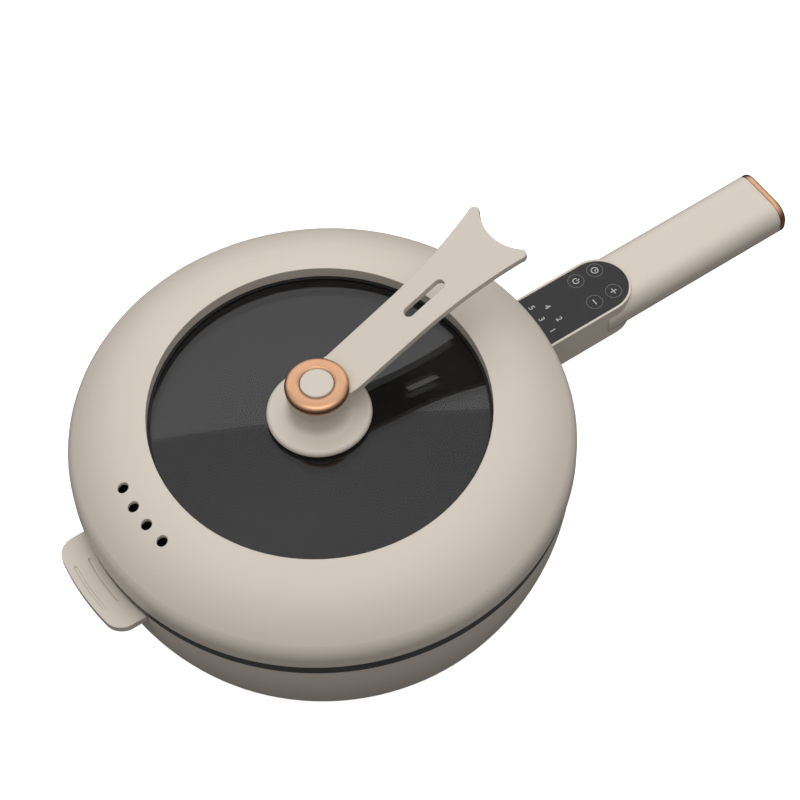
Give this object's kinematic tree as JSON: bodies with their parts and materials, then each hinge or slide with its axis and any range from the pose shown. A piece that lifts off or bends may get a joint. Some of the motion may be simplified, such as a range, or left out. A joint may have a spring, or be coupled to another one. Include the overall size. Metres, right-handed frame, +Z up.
{
  "type": "electric wok",
  "caption": "Electric wok: round non-stick pan in a heated base, lift-off domed glass lid with a stand arm, long touch-control handle and helper ear.",
  "frame": {"origin": "the pan's vertical axis at the face of the foot ring, which is the table plane", "axes": "+X along the control handle, away from the pan; +Z up through the lid's knob; +Y completes the right-handed frame"},
  "size_m": [0.501, 0.3, 0.1862],
  "materials": {
    "cream_plastic": "satin moulded plastic, warm cream",
    "nonstick_aluminium": "die-cast aluminium with a dark grey non-stick coat",
    "black_silicone": "matt black silicone",
    "bare_aluminium": "plain machined aluminium",
    "heater_steel": "drawn steel tube",
    "plain_steel": "zinc-plated steel",
    "polished_steel": "polished stainless steel",
    "dark_moulding": "black moulded plastic",
    "brass_pins": "plated brass pins",
    "rose_gold": "polished rose-gold plating",
    "black_gloss": "gloss black touch panel",
    "board_green": "glass-fibre circuit board",
    "light_lens": "milky light lens",
    "smoked_glass": "grey tinted tempered glass"
  },
  "bodies": {
    "base": {"bottom_cover": "dark_moulding", "bottom_screws": "plain_steel", "buzzer": "dark_moulding", "control_board": "board_green", "control_panel": "black_gloss", "foot_ring": "black_silicone", "handle_body": "cream_plastic", "handle_bolts": "plain_steel", "handle_bracket": "plain_steel", "handle_cover": "cream_plastic", "handle_end_cap": "rose_gold", "heat_shield": "plain_steel", "heat_spreader": "bare_aluminium", "heater_terminals": "plain_steel", "heating_element": "heater_steel", "helper_ear": "cream_plastic", "helper_ear_screws": "plain_steel", "indicator_lights": "light_lens", "inlet_pins": "brass_pins", "outer_shell": "cream_plastic", "pan": "nonstick_aluminium", "pan_screws": "plain_steel", "pan_seal": "black_silicone", "power_board": "board_green", "power_inlet": "dark_moulding", "relay": "dark_moulding", "sensor_strap": "plain_steel", "shield_screws": "plain_steel", "temperature_sensor": "bare_aluminium", "thermal_fuse": "plain_steel", "thermostat": "dark_moulding", "touch_pads": "black_silicone"},
    "lid": {"lid_rim": "cream_plastic", "lid_liner": "dark_moulding", "lid_screws": "plain_steel", "glass_seal": "black_silicone", "lid_glass": "smoked_glass", "knob_washer": "black_silicone", "knob_base": "cream_plastic", "stand_arm": "cream_plastic", "knob_ring": "rose_gold", "knob_button": "cream_plastic", "lower_washer": "black_silicone", "steel_cup": "polished_steel", "knob_bolt": "plain_steel", "knob_nut": "plain_steel"}
  },
  "joints": [
    {"name": "lid_lift", "type": "slide", "parent": "base", "child": "lid", "axis": [0, 0, 1], "range_m": [0, 0.12]}
  ]
}
